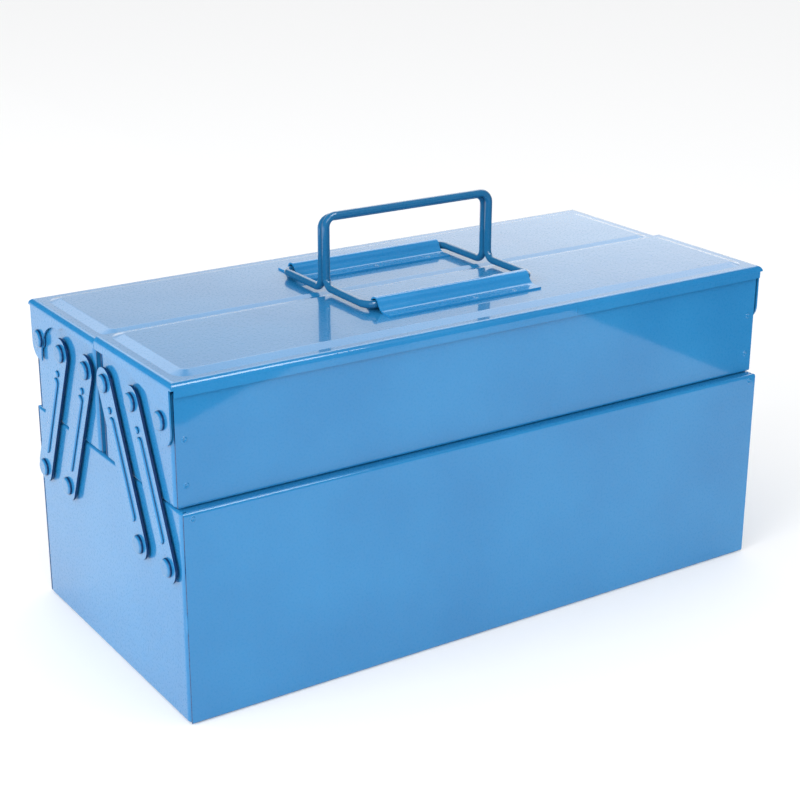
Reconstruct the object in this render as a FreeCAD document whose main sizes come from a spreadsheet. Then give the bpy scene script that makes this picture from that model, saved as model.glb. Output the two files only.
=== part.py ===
import FreeCAD, Part
import math
import os
import Sketcher

# A steel tool box with two levels: a deep base box and two shallow trays that swing out to the
# front and to the rear on parallel links. Each tray has a hinged lid, and each lid a wire handle.
# X runs along the box, -Y is its front, Z is up, and the origin is under the middle of the base.

os.makedirs("parts", exist_ok=True)
doc = FreeCAD.newDocument("tool_box")

# Driving sizes, in millimetres and degrees
DRIVING_SIZES = [
    # Sheet metal of the box
    ("gauge", 0.8, "thickness of the box sheet"),
    ("bend_radius", 3.0, "outside radius of the upright end bends and the lid bends"),
    ("rim_bend_radius", 1.5, "outside radius of the bends along the rims"),
    ("floor_bend_radius", 1.2, "outside radius of the bends under the base and the trays"),
    ("weld_gap", 0.1, "gap between sheets that are spot welded together"),
    ("wrap_step", 0.6, "how far a wrapped sheet stops short of the end faces"),
    ("relief_radius", 0.8, "radius of the corner holes in the base rim"),
    ("relief_inset", 2.2, "distance of a corner hole from the two outside faces"),
    # Base box
    ("length", 350.0, "length over the end faces of base and trays"),
    ("base_depth", 168.0, "depth of the base from front to rear"),
    ("base_height", 106.7, "height of the base"),
    ("base_rim", 10.0, "width of the base rim that the trays rest on"),
    # Trays
    ("tray_inset", 5.0, "how far a tray's long wall stands in from the base wall"),
    ("tray_middle", 2.2, "distance of a tray's inner wall from the middle plane"),
    ("tray_rest_gap", 0.4, "gap between the base rim and a closed tray"),
    ("tray_height", 54.7, "height of a tray"),
    ("tray_rim", 8.0, "width of the rim inside a tray's top"),
    # Links
    ("base_pivot_inset", 12.4, "distance of a base's outer pivot from its long face"),
    ("base_pivot_drop", 30.0, "depth of the base pivots under the base rim"),
    ("pivot_spacing", 30.0, "distance between the two links of one end"),
    ("inner_pivot_distance", 10.8, "distance of a tray's inner pivot from the middle plane"),
    ("tray_pivot_rise", 40.2, "height of the tray pivots over the tray's floor"),
    ("link_width", 15.5, "width of a link"),
    ("link_gauge", 1.2, "thickness of a link"),
    ("rib_width", 5.0, "width of the stiffening rib on a link"),
    ("rib_height", 1.0, "height of the rib"),
    ("rib_rounding", 0.9, "radius along the rib's edge"),
    ("rib_start_share", 0.21, "start of the rib as a share of the link from its upper pivot"),
    ("rib_end_share", 0.86, "end of the rib as a share of the link"),
    ("bump_share", 0.17, "place of the small bump above the rib as a share of the link"),
    ("bump_radius", 1.8, "radius of the bump"),
    # Rivets and washers
    ("washer_thickness", 1.2, "thickness of a link washer"),
    ("washer_radius", 5.2, "radius of all washers"),
    ("running_gap", 0.1, "side play of links and ears on their rivets"),
    ("shank_radius", 2.4, "radius of a rivet shank"),
    ("hole_clearance", 0.06, "radial play of a rivet in its holes"),
    ("head_radius", 4.6, "radius of a rivet head"),
    ("head_height", 1.7, "height of a rivet head"),
    ("head_rounding", 1.2, "radius of the edge of a rivet head"),
    ("tail_radius", 3.4, "radius of a rivet's closed end inside the box"),
    ("tail_height", 1.2, "height of a rivet's closed end"),
    # Lids
    ("skirt_gap", 1.5, "gap between a tray's long wall and the lid's skirt"),
    ("flap_gap", 0.9, "gap between a tray's end and the lid's end flap"),
    ("middle_gap", 0.2, "distance of a lid's edge from the middle plane"),
    ("corner_slit", 1.0, "open slit between skirt and end flap"),
    ("skirt_depth", 6.5, "height of a lid's skirt"),
    ("lid_pivot_inset", 9.5, "distance of a lid pivot from the tray's long face"),
    ("lid_pivot_rise", 40.2, "height of a lid pivot over the tray's floor"),
    ("front_lid_rise", 19.9, "height of the front lid's margin over its pivot"),
    ("rear_lid_rise", 18.2, "height of the rear lid's margin over its pivot"),
    ("flap_rise", 13.8, "height of an end flap's lower edge over the pivot"),
    ("flap_step_width", 8.0, "width of the sloping step in an end flap's lower edge"),
    ("arch_rise", 11.0, "height of the top of an ear's arch over the pivot"),
    ("arch_radius", 21.0, "radius of an ear's arch"),
    ("ear_drop", 11.5, "depth of an ear's tip under the pivot"),
    ("ear_inner", 1.5, "distance of an ear tip's inner edge from the pivot"),
    ("ear_tip_radius", 8.0, "radius of an ear's outer corner"),
    ("emboss_height", 1.5, "height of a lid's raised panel"),
    ("emboss_margin", 6.5, "margin around the raised panel"),
    ("emboss_middle_margin", 0.6, "margin of the raised panel at the lid's inner edge"),
    ("emboss_slope", 5.5, "width of the slope around the raised panel"),
    ("emboss_radius", 8.0, "corner radius of the slope's lower edge"),
    ("emboss_softness", 2.5, "radius along the raised panel's upper edge"),
    # Handles
    ("wire_radius", 2.0, "radius of the handle wire"),
    ("grip_gap", 0.2, "gap between the two handles where they meet"),
    ("bail_half_width", 50.3, "distance of a handle's legs from its middle"),
    ("bail_rise", 36.3, "height of the grip over the handle's axle"),
    ("bail_bend_radius", 5.5, "radius of the wire's bends along its centre"),
    ("axle_distance", 40.7, "distance of a handle's axle from the middle plane"),
    ("axle_rise", 3.2, "height of a handle's axle over the raised panel"),
    ("axle_end_gap", 4.0, "gap between the two wire ends inside a bracket"),
    ("bracket_length", 92.0, "length of a handle bracket"),
    ("bracket_gauge", 0.9, "thickness of a bracket's sheet"),
    ("bracket_half_width", 14.0, "distance of a bracket's foot edges from its axle"),
    ("crown_radius", 4.0, "outside radius of a bracket's crown"),
    ("crown_rise", 2.9, "height of the crown's centre over the raised panel"),
    ("crown_angle", 70.0, "angle of the crown to each side of its top"),
    # Working sizes
    ("overrun", 1.0, "how far a cut runs past the sheet"),
    ("pick_distance", 0.01, "distance within which an edge is found by a point on it"),
]

sheet = doc.addObject("Spreadsheet::Sheet", "sizes")
for row, (alias, number, meaning) in enumerate(DRIVING_SIZES, 1):
    sheet.set(f"A{row}", meaning)
    sheet.set(f"B{row}", str(number))
    sheet.setAlias(f"B{row}", alias)
doc.recompute()


def size(alias):
    """Write an alias the way expressions read it."""
    return f"sizes.{alias}"


def value(expression):
    """Work out an expression in the sheet's names."""
    result = sheet.evalExpression(expression)
    return float(getattr(result, "Value", result))


def vector(x, y, z):
    """Make a vector from three expressions."""
    return FreeCAD.Vector(value(x), value(y), value(z))


# Places that follow from the driving sizes
HALF_LENGTH = "sizes.length / 2"
HALF_DEPTH = "sizes.base_depth / 2"
TRAY_FLOOR = "(sizes.base_height + sizes.tray_rest_gap)"
TRAY_TOP = f"({TRAY_FLOOR} + sizes.tray_height)"
TRAY_OUTER = "(sizes.base_depth / 2 - sizes.tray_inset)"
BASE_PIVOT_HEIGHT = "(sizes.base_height - sizes.base_pivot_drop)"
TRAY_PIVOT_HEIGHT = f"({TRAY_FLOOR} + sizes.tray_pivot_rise)"
BASE_PIVOTS = [
    "(sizes.base_depth / 2 - sizes.base_pivot_inset)",
    "(sizes.base_depth / 2 - sizes.base_pivot_inset - sizes.pivot_spacing)",
]
TRAY_PIVOTS = ["(sizes.inner_pivot_distance + sizes.pivot_spacing)", "sizes.inner_pivot_distance"]
LINK_REACH = f"({BASE_PIVOTS[0]} - {TRAY_PIVOTS[0]})"
LINK_RISE = f"({TRAY_PIVOT_HEIGHT} - {BASE_PIVOT_HEIGHT})"
LINK_LENGTH = f"sqrt({LINK_REACH} ^ 2 + {LINK_RISE} ^ 2)"
LID_PIVOT = f"({TRAY_OUTER} - sizes.lid_pivot_inset)"
LID_PIVOT_HEIGHT = f"({TRAY_FLOOR} + sizes.lid_pivot_rise)"
LID_OUTER = f"({TRAY_OUTER} + sizes.skirt_gap + sizes.gauge)"
FLAP_INNER = "(sizes.length / 2 + sizes.flap_gap)"
FLAP_OUTER = "(sizes.length / 2 + sizes.flap_gap + sizes.gauge)"
INNER_BEND = "sizes.bend_radius - sizes.gauge"
HOLE_RADIUS = "sizes.shank_radius + sizes.hole_clearance"
LINK_STACK = "(sizes.washer_thickness + sizes.link_gauge + 2 * sizes.running_gap)"
LID_STACK = "(sizes.flap_gap + sizes.gauge + sizes.running_gap)"
SIDES = {"front": 0.0, "rear": 180.0}
ENDS = {"left": 0.0, "right": 180.0}


def lid_top(side):
    """Height of the flat margin of one side's lid."""
    return f"({LID_PIVOT_HEIGHT} + sizes.{side}_lid_rise)"


def turned(degrees):
    """A turn about the vertical axis."""
    return FreeCAD.Rotation(FreeCAD.Vector(0, 0, 1), degrees)


def new_body(label):
    """Start a part design body under its own label."""
    body = doc.addObject("PartDesign::Body", label)
    body.Label = label
    return body


def new_sketch(body, name, role, offset=None):
    """Put a sketch on one of the body's own origin planes, at a distance along its normal."""
    sketch = body.newObject("Sketcher::SketchObject", name)
    planes = {feature.Role: feature for feature in body.Origin.OriginFeatures}
    sketch.AttachmentSupport = [(planes[role], "")]
    sketch.MapMode = "FlatFace"
    if offset is not None:
        sketch.setExpression("AttachmentOffset.Base.z", offset)
    return sketch


def bind(sketch, constraint, expression):
    """Add a constraint and tie its value to an expression."""
    row = sketch.addConstraint(constraint)
    sketch.setExpression(f"Constraints[{row}]", expression)


def place_point(sketch, item, end, x, y):
    """Hold a point of the sketch at two expressions."""
    bind(sketch, Sketcher.Constraint("DistanceX", -1, 1, item, end, value(x)), x)
    bind(sketch, Sketcher.Constraint("DistanceY", -1, 1, item, end, value(y)), y)


def outline(sketch, corners):
    """Draw a closed outline of straight lines through bound corners."""
    points = [vector(x, y, "0") for x, y in corners]
    first = sketch.GeometryCount
    count = len(points)
    for index in range(count):
        sketch.addGeometry(Part.LineSegment(points[index], points[(index + 1) % count]))
    for index in range(count):
        following = first + (index + 1) % count
        sketch.addConstraint(Sketcher.Constraint("Coincident", first + index, 2, following, 1))
    for index, (x, y) in enumerate(corners):
        place_point(sketch, first + index, 1, x, y)


def rectangle(sketch, low_x, low_y, high_x, high_y):
    """Draw a rectangle between two bound corners."""
    outline(sketch, [(low_x, low_y), (high_x, low_y), (high_x, high_y), (low_x, high_y)])


def circle(sketch, x, y, radius):
    """Draw a circle with a bound centre and radius."""
    item = sketch.addGeometry(Part.Circle(vector(x, y, "0"), FreeCAD.Vector(0, 0, 1), value(radius)))
    place_point(sketch, item, 3, x, y)
    bind(sketch, Sketcher.Constraint("Radius", item, value(radius)), radius)


def rounded_rectangle(sketch, low_x, low_y, high_x, high_y, radius):
    """Draw a rectangle whose corners are bound arcs."""
    left, right = value(low_x), value(high_x)
    bottom, top = value(low_y), value(high_y)
    bend = value(radius)
    centres = [
        (f"{high_x} - ({radius})", f"{low_y} + ({radius})", -math.pi / 2),
        (f"{high_x} - ({radius})", f"{high_y} - ({radius})", 0.0),
        (f"{low_x} + ({radius})", f"{high_y} - ({radius})", math.pi / 2),
        (f"{low_x} + ({radius})", f"{low_y} + ({radius})", math.pi),
    ]
    lines = [
        ((left + bend, bottom), (right - bend, bottom)),
        ((right, bottom + bend), (right, top - bend)),
        ((right - bend, top), (left + bend, top)),
        ((left, top - bend), (left, bottom + bend)),
    ]
    first = sketch.GeometryCount
    for (start, finish), (x, y, angle) in zip(lines, centres):
        sketch.addGeometry(Part.LineSegment(FreeCAD.Vector(*start, 0), FreeCAD.Vector(*finish, 0)))
        whole = Part.Circle(vector(x, y, "0"), FreeCAD.Vector(0, 0, 1), bend)
        sketch.addGeometry(Part.ArcOfCircle(whole, angle, angle + math.pi / 2))
    for corner in range(4):
        line = first + 2 * corner
        arc = line + 1
        following = first + (2 * corner + 2) % 8
        sketch.addConstraint(Sketcher.Constraint("Tangent", line, 2, arc, 1))
        sketch.addConstraint(Sketcher.Constraint("Tangent", arc, 2, following, 1))
        place_point(sketch, arc, 3, centres[corner][0], centres[corner][1])
    bind(sketch, Sketcher.Constraint("Radius", first + 1, bend), radius)


def pad(body, sketch, name, length, side_type="One side", reverse=False):
    """Extrude a sketch by a bound length."""
    feature = body.newObject("PartDesign::Pad", name)
    feature.Profile = (sketch, [""])
    feature.SideType = side_type
    feature.Reversed = reverse
    feature.setExpression("Length", length)
    doc.recompute()
    return feature


def pocket(body, sketch, name, length, side_type="One side", reverse=False):
    """Cut a sketch out by a bound length, and make sure that it takes metal away."""
    before = body.Shape.Volume
    feature = body.newObject("PartDesign::Pocket", name)
    feature.Profile = (sketch, [""])
    feature.SideType = side_type
    feature.Reversed = reverse
    feature.setExpression("Length", length)
    doc.recompute()
    if not body.Shape.Volume < before:
        raise RuntimeError(f"{body.Label}: {name} cuts nothing")
    return feature


def fillet(body, name, points, radius):
    """Round the edges that pass through the given points."""
    base = body.Tip
    wanted = [Part.Vertex(point) for point in points]
    found = []
    for index, edge in enumerate(base.Shape.Edges, 1):
        if any(edge.distToShape(vertex)[0] < value("sizes.pick_distance") for vertex in wanted):
            found.append(f"Edge{index}")
    if len(found) < len(points):
        raise RuntimeError(f"{body.Label}: {name} finds {len(found)} edges")
    feature = body.newObject("PartDesign::Fillet", name)
    feature.Base = (base, found)
    feature.setExpression("Radius", radius)
    doc.recompute()
    return feature


def mitre(body, top, triangles):
    """Cut triangles down from a rim so that two sheets meet on a slanting line."""
    sketch = new_sketch(body, f"{body.Label}_mitre_outline", "XY_Plane", top)
    for triangle in triangles:
        outline(sketch, triangle)
    pocket(body, sketch, f"{body.Label}_mitre", "sizes.rim_bend_radius + sizes.weld_gap")


def relief_holes(body, top, centres):
    """Cut the small round corner holes of the base rim."""
    sketch = new_sketch(body, f"{body.Label}_relief_outline", "XY_Plane", top)
    for x, y in centres:
        circle(sketch, x, y, "sizes.relief_radius")
    pocket(body, sketch, f"{body.Label}_relief", "sizes.rim_bend_radius + sizes.weld_gap")


def wrap(label, low_y, high_y, floor, top, rim, relief=False):
    """A sheet bent into one long wall, the floor, the other long wall and a rim on each.

    The floor stops short at both ends, where the end plates' lower edges lie flush with it.
    """
    body = new_body(label)
    span = "sizes.length - 2 * sizes.wrap_step"
    cut = "sizes.length + 2 * sizes.overrun"
    section = new_sketch(body, f"{label}_section", "YZ_Plane")
    rectangle(section, low_y, floor, high_y, top)
    pad(body, section, f"{label}_block", span, "Symmetric")
    inside = new_sketch(body, f"{label}_inside", "YZ_Plane")
    inner = [f"{low_y} + sizes.gauge", f"{high_y} - sizes.gauge"]
    rectangle(inside, inner[0], f"{floor} + sizes.gauge", inner[1], f"{top} - sizes.gauge")
    pocket(body, inside, f"{label}_hollow", cut, "Symmetric")
    lower = [vector("0", wall, f"{floor} + sizes.gauge") for wall in inner]
    upper = [vector("0", wall, f"{top} - sizes.gauge") for wall in inner]
    fillet(body, f"{label}_inner_floor_bends", lower, "sizes.floor_bend_radius - sizes.gauge")
    fillet(body, f"{label}_inner_rim_bends", upper, "sizes.rim_bend_radius - sizes.gauge")
    walls = [low_y, high_y]
    lower = [vector("0", wall, floor) for wall in walls]
    upper = [vector("0", wall, top) for wall in walls]
    fillet(body, f"{label}_floor_bends", lower, "sizes.floor_bend_radius")
    fillet(body, f"{label}_rim_bends", upper, "sizes.rim_bend_radius")
    ends = new_sketch(body, f"{label}_floor_ends", "XY_Plane", floor)
    for way in (-1, 1):
        edges = (f"{way} * ({HALF_LENGTH} - {rim} - sizes.weld_gap)",
                 f"{way} * ({HALF_LENGTH} + sizes.overrun)")
        near, far = sorted(edges, key=value)
        rectangle(ends, near, inner[0], far, inner[1])
    pocket(body, ends, f"{label}_floor_cut", "sizes.floor_bend_radius", reverse=True)
    mouth = new_sketch(body, f"{label}_mouth_section", "YZ_Plane")
    rectangle(
        mouth, f"{low_y} + {rim}", f"{top} - 2 * sizes.gauge",
        f"{high_y} - {rim}", f"{top} + sizes.overrun",
    )
    pocket(body, mouth, f"{label}_mouth", cut, "Symmetric")
    triangles = []
    centres = []
    for end in (-1, 1):
        for wall, way in ((low_y, 1), (high_y, -1)):
            corners = [
                ("-sizes.overrun", "-sizes.overrun - sizes.weld_gap / 2"),
                (f"{rim} + sizes.overrun + sizes.weld_gap / 2", f"{rim} + sizes.overrun"),
                ("-sizes.overrun", f"{rim} + sizes.overrun"),
            ]
            triangles.append([
                (f"{end} * (sizes.length / 2 - ({along}))", f"{wall} + {way} * ({across})")
                for along, across in corners
            ])
            if relief:
                centres.append((
                    f"{end} * (sizes.length / 2 - sizes.relief_inset)",
                    f"{wall} + {way} * sizes.relief_inset",
                ))
    mitre(body, top, triangles)
    if relief:
        relief_holes(body, top, centres)
    return body


def pan(label, low_y, high_y, floor, top, depth, holes, relief=False):
    """An end plate with its four edges bent inwards; its face lies at x = 0 and it opens to +X.

    The walls given are the outside faces of the sheet that wraps around it.
    """
    body = new_body(label)
    low = f"{low_y} + sizes.gauge + sizes.weld_gap"
    high = f"{high_y} - sizes.gauge - sizes.weld_gap"
    face = new_sketch(body, f"{label}_face", "YZ_Plane")
    rectangle(face, low, floor, high, top)
    pad(body, face, f"{label}_block", depth)
    middle = f"({low} + {high}) / 2"
    half_height = f"({floor} + {top}) / 2"
    inner = [f"{low} + sizes.gauge", f"{high} - sizes.gauge"]
    levels = {"floor": floor, "rim": top}
    inner_levels = {"floor": f"{floor} + sizes.gauge", "rim": f"{top} - sizes.gauge"}
    inside = new_sketch(body, f"{label}_inside", "YZ_Plane", depth)
    rectangle(inside, inner[0], inner_levels["floor"], inner[1], inner_levels["rim"])
    pocket(body, inside, f"{label}_hollow", f"{depth} - sizes.gauge")
    upright = [vector("sizes.gauge", side, half_height) for side in inner]
    fillet(body, f"{label}_inner_bends", upright, INNER_BEND)
    for edge, level in inner_levels.items():
        along = [vector("sizes.gauge", middle, level)]
        fillet(body, f"{label}_inner_{edge}_bend", along, f"sizes.{edge}_bend_radius - sizes.gauge")
    upright = [vector("0", side, half_height) for side in (low, high)]
    fillet(body, f"{label}_bends", upright, "sizes.bend_radius")
    for edge, level in levels.items():
        along = [vector("0", middle, level)]
        fillet(body, f"{label}_{edge}_bend", along, f"sizes.{edge}_bend_radius")
    triangles = []
    centres = []
    for wall, way in ((low_y, 1), (high_y, -1)):
        corners = [
            ("-sizes.overrun - sizes.weld_gap / 2", "-sizes.overrun"),
            (f"{depth} + sizes.overrun", "-sizes.overrun"),
            (f"{depth} + sizes.overrun", f"{depth} + sizes.overrun + sizes.weld_gap / 2"),
        ]
        triangles.append([(along, f"{wall} + {way} * ({across})") for along, across in corners])
        centres.append(("sizes.relief_inset", f"{wall} + {way} * sizes.relief_inset"))
    mitre(body, top, triangles)
    if relief:
        relief_holes(body, top, centres)
    bores = new_sketch(body, f"{label}_bores", "YZ_Plane", "sizes.gauge")
    for distance, height in holes:
        circle(bores, distance, height, HOLE_RADIUS)
    pocket(body, bores, f"{label}_rivet_holes", "sizes.gauge + sizes.overrun")
    return body


def place_end(body, end):
    """Stand a piece modelled at the left end against either end face of the box."""
    sign = -1 if end == "left" else 1
    body.Placement = FreeCAD.Placement(FreeCAD.Vector(0, 0, 0), turned(ENDS[end]))
    body.setExpression("Placement.Base.x", f"{sign} * sizes.length / 2")
    return body


def make_base():
    """The base box: one wrapped sheet and two end plates."""
    low, high = f"-{HALF_DEPTH}", HALF_DEPTH
    rim = "sizes.base_rim"
    wrap("base_wrap", low, high, "0", "sizes.base_height", rim, relief=True)
    holes = []
    for sign in (-1, 1):
        for distance in BASE_PIVOTS:
            holes.append((f"{sign} * {distance}", BASE_PIVOT_HEIGHT))
    for end in ENDS:
        label = f"base_{end}_end"
        plate = pan(label, low, high, "0", "sizes.base_height", rim, holes, relief=True)
        place_end(plate, end)


def make_tray(side):
    """One tray: a wrapped sheet and two end plates."""
    sign = -1 if side == "front" else 1
    walls = ["sizes.tray_middle", TRAY_OUTER]
    label = f"{side}_tray_wrap"
    body = wrap(label, f"-{TRAY_OUTER}", "-sizes.tray_middle", TRAY_FLOOR, TRAY_TOP, "sizes.tray_rim")
    body.Placement = FreeCAD.Placement(FreeCAD.Vector(0, 0, 0), turned(SIDES[side]))
    for end in ENDS:
        local = sign if end == "left" else -sign
        low, high = sorted((f"{local} * {wall}" for wall in walls), key=value)
        holes = [(f"{local} * {distance}", TRAY_PIVOT_HEIGHT) for distance in TRAY_PIVOTS]
        holes.append((f"{local} * {LID_PIVOT}", LID_PIVOT_HEIGHT))
        label = f"{side}_tray_{end}_end"
        place_end(pan(label, low, high, TRAY_FLOOR, TRAY_TOP, "sizes.tray_rim", holes), end)


def make_lid(side):
    """A shallow lid with a skirt, two end flaps with ears, and a raised panel."""
    label = f"{side}_lid"
    body = new_body(label)
    top = lid_top(side)
    outer = f"-{LID_OUTER}"
    inner = "-sizes.middle_gap"
    pivot = f"-{LID_PIVOT}"
    skirt_edge = f"{top} - sizes.skirt_depth"
    flap_edge = f"{LID_PIVOT_HEIGHT} + sizes.flap_rise"
    arch_top = f"{LID_PIVOT_HEIGHT} + sizes.arch_rise"
    tip = f"{LID_PIVOT_HEIGHT} - sizes.ear_drop"
    ear_inner = f"{pivot} + sizes.ear_inner"
    arch_end = f"{ear_inner} + sizes.arch_rise + sizes.ear_drop"
    ear_outer = f"-{TRAY_OUTER}"
    section = new_sketch(body, f"{label}_section", "YZ_Plane")
    outline(section, [
        (inner, top), (outer, top), (outer, skirt_edge), (ear_outer, skirt_edge), (ear_outer, tip),
        (ear_inner, tip), (ear_inner, arch_top), (arch_end, arch_top),
        (f"{arch_end} + sizes.flap_step_width", flap_edge), (inner, flap_edge),
    ])
    pad(body, section, f"{label}_block", f"2 * {FLAP_OUTER}", "Symmetric")
    fillet(body, f"{label}_arch", [vector("0", ear_inner, arch_top)], "sizes.arch_radius")
    fillet(body, f"{label}_ear_tips", [vector("0", ear_outer, tip)], "sizes.ear_tip_radius")
    middle = f"({outer} + {inner}) / 2"
    cut = new_sketch(body, f"{label}_inside", "YZ_Plane")
    outline(cut, [
        ("sizes.overrun", f"{top} - sizes.gauge"),
        (f"{outer} + sizes.gauge", f"{top} - sizes.gauge"),
        (f"{outer} + sizes.gauge", skirt_edge),
        (f"{outer} - sizes.overrun", skirt_edge),
        (f"{outer} - sizes.overrun", f"{tip} - sizes.overrun"),
        ("sizes.overrun", f"{tip} - sizes.overrun"),
    ])
    pocket(body, cut, f"{label}_hollow", f"2 * {FLAP_INNER}", "Symmetric")
    inside = [vector(f"{way} * {FLAP_INNER}", middle, f"{top} - sizes.gauge") for way in (-1, 1)]
    inside.append(vector("0", f"{outer} + sizes.gauge", f"{top} - sizes.gauge"))
    fillet(body, f"{label}_inner_bends", inside, INNER_BEND)
    bends = [vector(f"{way} * {FLAP_OUTER}", middle, top) for way in (-1, 1)]
    bends.append(vector("0", outer, top))
    fillet(body, f"{label}_bends", bends, "sizes.bend_radius")

    low = new_sketch(body, f"{label}_panel_foot", "XY_Plane", top)
    high = new_sketch(body, f"{label}_panel_top", "XY_Plane", f"{top} + sizes.emboss_height")
    under_low = new_sketch(body, f"{label}_press_foot", "XY_Plane", f"{top} - sizes.gauge")
    under_high_level = f"{top} - sizes.gauge + sizes.emboss_height"
    under_high = new_sketch(body, f"{label}_press_top", "XY_Plane", under_high_level)
    foot = [
        f"{FLAP_OUTER} - sizes.emboss_margin",
        f"{outer} + sizes.emboss_margin",
        f"{inner} - sizes.emboss_middle_margin",
    ]
    slope = "sizes.emboss_slope"
    small = f"sizes.emboss_radius - {slope}"
    for sketch in (low, under_low):
        rounded_rectangle(
            sketch, f"-({foot[0]})", foot[1], foot[0], foot[2], "sizes.emboss_radius")
    for sketch in (high, under_high):
        rounded_rectangle(
            sketch, f"-({foot[0]} - {slope})", f"{foot[1]} + {slope}",
            f"{foot[0]} - {slope}", f"{foot[2]} - {slope}", small)
    panel = body.newObject("PartDesign::AdditiveLoft", f"{label}_panel")
    panel.Profile = (low, [""])
    panel.Sections = [(high, [""])]
    panel.Ruled = True
    doc.recompute()
    softened = [
        vector("0", f"{foot[1]} + {slope}", f"{top} + sizes.emboss_height"),
        vector("0", f"{foot[2]} - {slope}", f"{top} + sizes.emboss_height"),
        vector(f"{foot[0]} - {slope}", middle, f"{top} + sizes.emboss_height"),
        vector(f"-({foot[0]} - {slope})", middle, f"{top} + sizes.emboss_height"),
    ]
    fillet(body, f"{label}_panel_edge", softened, "sizes.emboss_softness")

    before = body.Shape.Volume
    press = body.newObject("PartDesign::SubtractiveLoft", f"{label}_press")
    press.Profile = (under_low, [""])
    press.Sections = [(under_high, [""])]
    press.Ruled = True
    doc.recompute()
    if not body.Shape.Volume < before:
        raise RuntimeError(f"{label}: the press cuts nothing")

    slit = new_sketch(body, f"{label}_slits", "XY_Plane", f"{top} - sizes.bend_radius")
    for way in (-1, 1):
        sides = sorted(
            (f"{way} * ({FLAP_INNER} - sizes.corner_slit)", f"{way} * ({FLAP_OUTER} + sizes.overrun)"),
            key=value)
        rectangle(slit, sides[0], f"{outer} - sizes.overrun", sides[1], ear_outer)
    pocket(body, slit, f"{label}_open_corners", "sizes.skirt_depth + sizes.overrun")
    bores = new_sketch(body, f"{label}_bores", "YZ_Plane")
    circle(bores, pivot, LID_PIVOT_HEIGHT, HOLE_RADIUS)
    pocket(body, bores, f"{label}_pivot_holes", f"2 * ({FLAP_OUTER} + sizes.overrun)", "Symmetric")
    body.Placement = FreeCAD.Placement(FreeCAD.Vector(0, 0, 0), turned(SIDES[side]))


def make_bracket(side):
    """A sheet bracket with a round crown over the axle and a flat foot on both sides."""
    label = f"{side}_handle_bracket"
    body = new_body(label)
    angle = math.radians(value(size("crown_angle")))
    gauge = value(size("bracket_gauge"))
    crown = value(size("crown_radius"))
    rise = value(size("crown_rise"))
    half = value(size("bracket_half_width"))
    flare = (rise + crown * math.cos(angle) - gauge) / (1 - math.cos(angle))
    reach = (crown + flare) * math.sin(angle)
    centre = FreeCAD.Vector(0, rise, 0)
    normal = FreeCAD.Vector(0, 0, 1)
    sketch = new_sketch(body, f"{label}_section", "YZ_Plane")

    def point(x, y):
        return FreeCAD.Vector(x, y, 0)

    def arc(middle, radius, start, finish):
        return Part.ArcOfCircle(Part.Circle(middle, normal, radius), start, finish)

    right = point(reach, gauge + flare)
    left = point(-reach, gauge + flare)
    straight = math.pi / 2
    right_turn = (-straight - angle, -straight)
    left_turn = (-straight, -straight + angle)
    crown_turn = (straight - angle, straight + angle)
    items = [
        Part.LineSegment(point(half, 0), point(half, gauge)),
        Part.LineSegment(point(half, gauge), point(reach, gauge)),
        arc(right, flare, *right_turn),
        arc(centre, crown, *crown_turn),
        arc(left, flare, *left_turn),
        Part.LineSegment(point(-reach, gauge), point(-half, gauge)),
        Part.LineSegment(point(-half, gauge), point(-half, 0)),
        Part.LineSegment(point(-half, 0), point(-reach, 0)),
        arc(left, flare + gauge, *left_turn),
        arc(centre, crown - gauge, *crown_turn),
        arc(right, flare + gauge, *right_turn),
        Part.LineSegment(point(reach, 0), point(half, 0)),
    ]
    for item in items:
        sketch.addGeometry(item)
    # Each pair is an end of one line or arc and the end that it runs into
    corners = [((0, 2), (1, 1)), ((5, 2), (6, 1)), ((6, 2), (7, 1)), ((11, 2), (0, 1))]
    smooth = [
        ((1, 2), (2, 2)), ((2, 1), (3, 1)), ((3, 2), (4, 2)), ((4, 1), (5, 1)),
        ((7, 2), (8, 1)), ((8, 2), (9, 2)), ((9, 1), (10, 1)), ((10, 2), (11, 1)),
    ]
    for (first, first_end), (second, second_end) in corners:
        sketch.addConstraint(
            Sketcher.Constraint("Coincident", first, first_end, second, second_end))
    for (first, first_end), (second, second_end) in smooth:
        sketch.addConstraint(Sketcher.Constraint("Tangent", first, first_end, second, second_end))
    place_point(sketch, 0, 1, size("bracket_half_width"), "0")
    place_point(sketch, 0, 2, size("bracket_half_width"), size("bracket_gauge"))
    place_point(sketch, 6, 1, "-sizes.bracket_half_width", size("bracket_gauge"))
    place_point(sketch, 6, 2, "-sizes.bracket_half_width", "0")
    place_point(sketch, 3, 3, "0", size("crown_rise"))
    bind(sketch, Sketcher.Constraint("Radius", 3, crown), size("crown_radius"))
    pad(body, sketch, f"{label}_pressing", size("bracket_length"), "Symmetric")
    sign = -1 if side == "front" else 1
    body.setExpression("Placement.Base.y", f"{sign} * sizes.axle_distance")
    body.setExpression("Placement.Base.z", f"{lid_top(side)} + sizes.emboss_height")


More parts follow.
